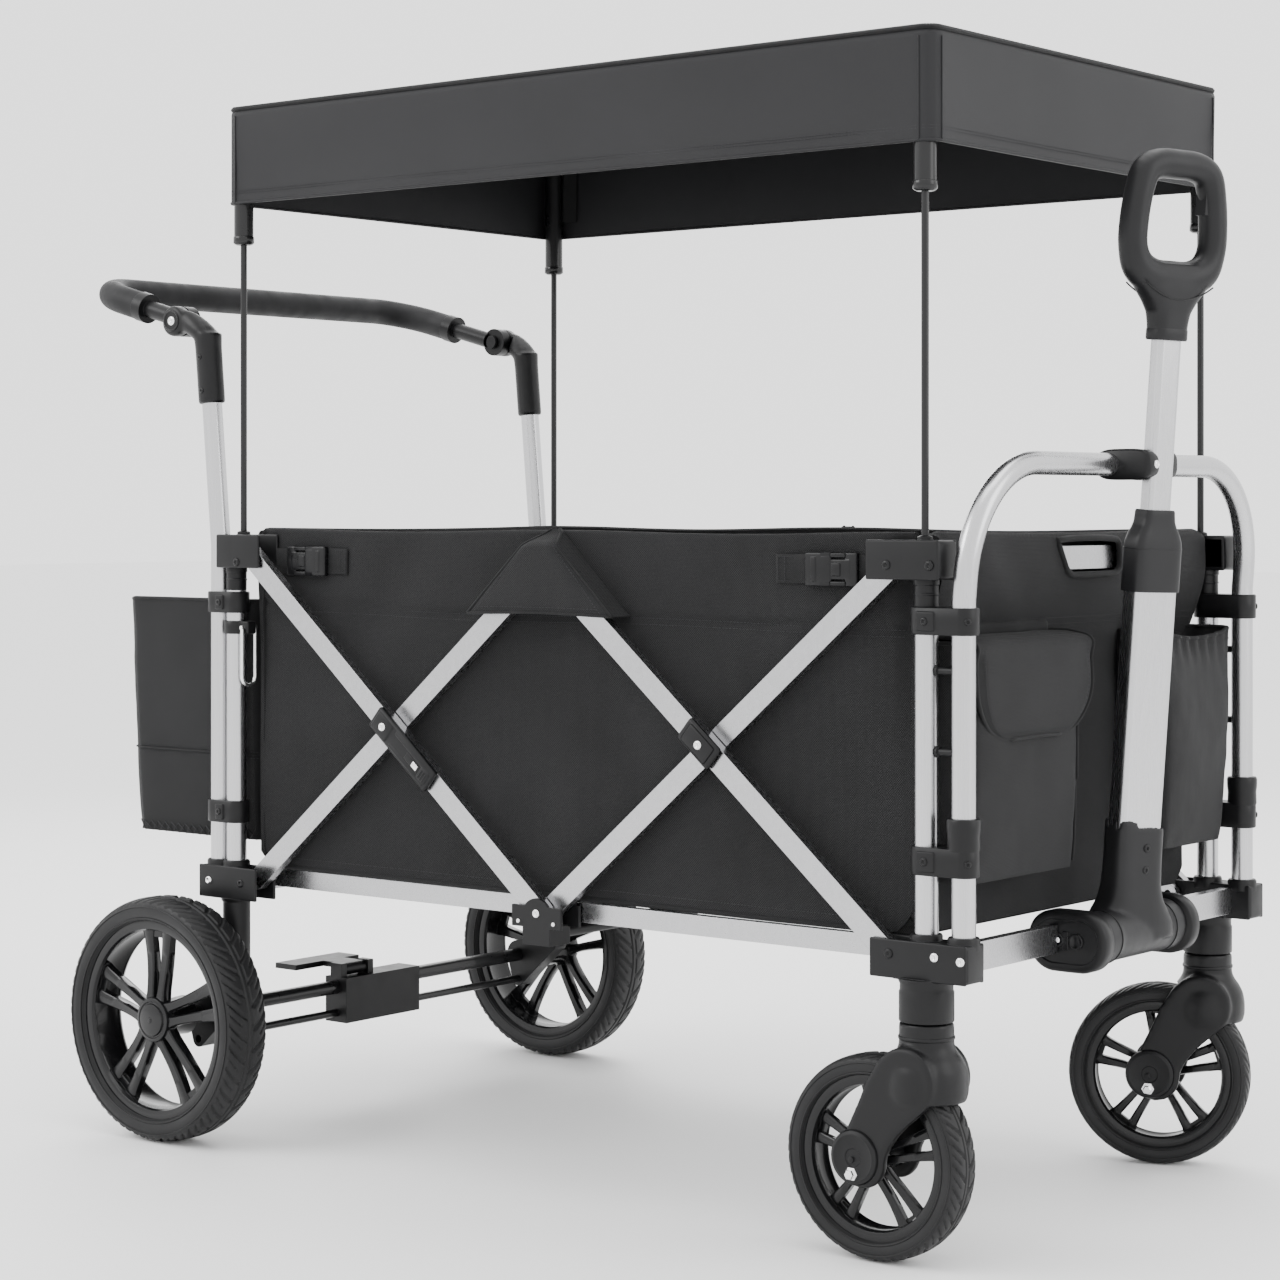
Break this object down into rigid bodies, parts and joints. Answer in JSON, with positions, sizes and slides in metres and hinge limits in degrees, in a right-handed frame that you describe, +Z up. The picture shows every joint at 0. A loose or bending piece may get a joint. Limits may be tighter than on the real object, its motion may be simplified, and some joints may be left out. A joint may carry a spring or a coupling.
{
  "type": "kids pull wagon",
  "caption": "Folding fabric wagon with scissor sides, canopy on poles, push bar at the rear, telescopic pull handle, swivel casters in front and brake at the rear axle.",
  "frame": {"origin": "centre of the footprint of the whole wagon, at floor level", "axes": "+X forward towards the pull handle, +Y to the left, +Z up"},
  "size_m": [1.4739, 0.804, 1.276],
  "materials": {
    "frame_tube": "satin anodised",
    "scissor_bar": "satin anodised, bright edges",
    "bracket_plastic": "moulded, fine texture",
    "grip_plastic": "soft-touch moulded",
    "grip_foam": "dense foam",
    "tyre": "matte",
    "rim_plastic": "satin gloss",
    "tub_fabric": "coarse woven polyester",
    "canopy_fabric": "coated woven polyester",
    "webbing": "woven strap",
    "black_metal": "powder coated",
    "bright_steel": "polished"
  },
  "bodies": {
    "root": {"rear_posts": "frame_tube", "push_bar_tubes": "frame_tube", "rear_bottom_brackets": "bracket_plastic", "rear_clips": "bracket_plastic", "rear_cross_rail": "scissor_bar", "rear_axle_legs": "bracket_plastic", "rear_axle": "black_metal", "brake_housing": "bracket_plastic", "push_bar_sockets": "bracket_plastic", "rear_panel": "tub_fabric", "rear_basket": "tub_fabric", "side_panels": "tub_fabric", "tub_floor": "tub_fabric", "side_straps": "webbing"},
    "push_bar": {"push_bar_arms": "bracket_plastic", "push_bar_grip": "grip_foam"},
    "button_right": {"joint_button_right": "bracket_plastic"},
    "button_left": {"joint_button_left": "bracket_plastic"},
    "brake": {"brake_pedal": "bracket_plastic"},
    "hook": {"wire_hook": "bright_steel"},
    "rear_wheel_right": {"rear_tyre_right": "tyre", "rear_rim_right": "rim_plastic"},
    "rear_wheel_left": {"rear_tyre_left": "tyre", "rear_rim_left": "rim_plastic"},
    "caster_right": {"caster_fork_right": "bracket_plastic"},
    "caster_left": {"caster_fork_left": "bracket_plastic"},
    "front_wheel_right": {"front_tyre_right": "tyre", "front_rim_right": "rim_plastic"},
    "front_wheel_left": {"front_tyre_left": "tyre", "front_rim_left": "rim_plastic"},
    "front_frame": {"front_posts": "frame_tube", "u_frame": "frame_tube", "front_bottom_brackets": "bracket_plastic", "front_clips": "bracket_plastic", "front_rails": "scissor_bar", "handle_clip": "bracket_plastic", "handle_mount": "bracket_plastic", "front_panel": "tub_fabric", "front_pockets": "tub_fabric"},
    "flap": {"pocket_flap": "tub_fabric"},
    "pull_handle": {"handle_boot": "grip_plastic", "handle_outer_tube": "frame_tube", "handle_collar": "grip_plastic"},
    "stem": {"handle_inner_tube": "frame_tube", "handle_grip": "grip_plastic"},
    "trigger": {"grip_trigger": "grip_plastic"},
    "bars_rear_inner": {"rear_scissor_inner": "scissor_bar"},
    "bars_rear_outer": {"rear_scissor_outer": "scissor_bar", "scissor_latch": "bracket_plastic"},
    "bars_front_inner": {"front_scissor_inner": "scissor_bar"},
    "bars_front_outer": {"front_scissor_outer": "scissor_bar"},
    "hub": {"centre_hub": "bracket_plastic"},
    "rail_rear": {"floor_rail_rear": "scissor_bar"},
    "rail_front": {"floor_rail_front": "scissor_bar"},
    "rear_top": {"rear_top_brackets": "bracket_plastic", "canopy_poles_rear": "black_metal", "canopy_roof": "canopy_fabric"},
    "front_top": {"front_top_brackets": "bracket_plastic", "front_top_rail": "scissor_bar", "canopy_poles_front": "black_metal"}
  },
  "joints": [
    {"name": "fold", "type": "hinge", "parent": "root", "child": "bars_rear_inner", "pos_m": [-0.39937, 0, 0.322], "axis": [0, -1, 0], "range_deg": [0, 34], "deforming": ["side_panels", "tub_floor", "side_straps", "canopy_roof"]},
    {"name": "fold_top_hub", "type": "hinge", "parent": "bars_rear_inner", "child": "bars_front_outer", "pos_m": [0.07063, 0, 0.722], "axis": [0, -1, 0], "range_deg": [-68, 0]},
    {"name": "fold_front_foot", "type": "hinge", "parent": "bars_front_outer", "child": "front_frame", "pos_m": [0.54063, 0, 0.322], "axis": [0, -1, 0], "range_deg": [0, 34]},
    {"name": "fold_rear_cross", "type": "hinge", "parent": "bars_rear_inner", "child": "bars_rear_outer", "pos_m": [-0.16437, 0, 0.522], "axis": [0, -1, 0], "range_deg": [-68, 0]},
    {"name": "fold_front_cross", "type": "hinge", "parent": "bars_front_outer", "child": "bars_front_inner", "pos_m": [0.30563, 0, 0.522], "axis": [0, -1, 0], "range_deg": [0, 68]},
    {"name": "fold_rear_top", "type": "hinge", "parent": "bars_rear_outer", "child": "rear_top", "pos_m": [-0.39937, 0, 0.722], "axis": [0, -1, 0], "range_deg": [0, 34]},
    {"name": "fold_front_top", "type": "hinge", "parent": "bars_front_inner", "child": "front_top", "pos_m": [0.54063, 0, 0.722], "axis": [0, -1, 0], "range_deg": [-34, 0]},
    {"name": "fold_hub", "type": "hinge", "parent": "bars_rear_outer", "child": "hub", "pos_m": [0.07063, 0, 0.322], "axis": [0, -1, 0], "range_deg": [0, 34]},
    {"name": "fold_rail_rear", "type": "hinge", "parent": "root", "child": "rail_rear", "pos_m": [-0.39937, 0, 0.322], "axis": [0, -1, 0], "range_deg": [0, 69.33]},
    {"name": "fold_rail_front", "type": "hinge", "parent": "front_frame", "child": "rail_front", "pos_m": [0.54063, 0, 0.322], "axis": [0, -1, 0], "range_deg": [-69.33, 0]},
    {"name": "rear_wheel_right_spin", "type": "hinge", "parent": "root", "child": "rear_wheel_right", "pos_m": [-0.49437, -0.369, 0.15], "axis": [0, 1, 0], "continuous": true},
    {"name": "rear_wheel_left_spin", "type": "hinge", "parent": "root", "child": "rear_wheel_left", "pos_m": [-0.49437, 0.369, 0.15], "axis": [0, 1, 0], "continuous": true},
    {"name": "caster_right_swivel", "type": "hinge", "parent": "front_frame", "child": "caster_right", "pos_m": [0.57963, -0.304, 0.25], "axis": [0, 0, 1], "continuous": true},
    {"name": "caster_left_swivel", "type": "hinge", "parent": "front_frame", "child": "caster_left", "pos_m": [0.57963, 0.304, 0.25], "axis": [0, 0, 1], "continuous": true},
    {"name": "front_wheel_right_spin", "type": "hinge", "parent": "caster_right", "child": "front_wheel_right", "pos_m": [0.52263, -0.304, 0.107], "axis": [0, 1, 0], "continuous": true},
    {"name": "front_wheel_left_spin", "type": "hinge", "parent": "caster_left", "child": "front_wheel_left", "pos_m": [0.52642, 0.28357, 0.107], "axis": [-0.3584, 0.9336, 0], "continuous": true},
    {"name": "push_bar_tilt", "type": "hinge", "parent": "root", "child": "push_bar", "pos_m": [-0.53737, 0, 1.015], "axis": [0, -1, 0], "range_deg": [-45, 60]},
    {"name": "button_right_press", "type": "slide", "parent": "push_bar", "child": "button_right", "axis": [0, -1, 0], "range_m": [0, 0.004], "stiffness_N_per_m": 400},
    {"name": "button_left_press", "type": "slide", "parent": "push_bar", "child": "button_left", "axis": [0, 1, 0], "range_m": [0, 0.004], "stiffness_N_per_m": 400},
    {"name": "brake_press", "type": "hinge", "parent": "root", "child": "brake", "pos_m": [-0.49437, 0, 0.172], "axis": [0, -1, 0], "range_deg": [0, 18], "stiffness_Nm_per_rad": 2, "springref_deg": -11.46},
    {"name": "hook_swing", "type": "hinge", "parent": "root", "child": "hook", "pos_m": [-0.41587, -0.304, 0.632], "axis": [0, -1, 0], "range_deg": [0, 80]},
    {"name": "pull_handle_swing", "type": "hinge", "parent": "front_frame", "child": "pull_handle", "pos_m": [0.64263, 0, 0.317], "axis": [0, 1, 0], "range_deg": [0, 92]},
    {"name": "handle_telescope", "type": "slide", "parent": "pull_handle", "child": "stem", "axis": [0.0732, 0, 0.9973], "range_m": [0, 0.22]},
    {"name": "trigger_squeeze", "type": "slide", "parent": "stem", "child": "trigger", "axis": [0.3411, 0.9397, -0.025], "range_m": [0, 0.004], "stiffness_N_per_m": 400},
    {"name": "flap_lift", "type": "hinge", "parent": "front_frame", "child": "flap", "pos_m": [0.55913, 0, 0.646], "axis": [0, -1, 0], "range_deg": [0, 60]}
  ],
  "couplings": [
    {"joint": "fold_top_hub", "follows": "fold", "ratio": -2},
    {"joint": "fold_front_foot", "follows": "fold", "ratio": 1},
    {"joint": "fold_rear_cross", "follows": "fold", "ratio": -2},
    {"joint": "fold_front_cross", "follows": "fold", "ratio": 2},
    {"joint": "fold_rear_top", "follows": "fold", "ratio": 1},
    {"joint": "fold_front_top", "follows": "fold", "ratio": -1},
    {"joint": "fold_hub", "follows": "fold", "ratio": 1},
    {"joint": "fold_rail_rear", "follows": "fold", "ratio": 2.0389},
    {"joint": "fold_rail_front", "follows": "fold", "ratio": -2.0389}
  ]
}
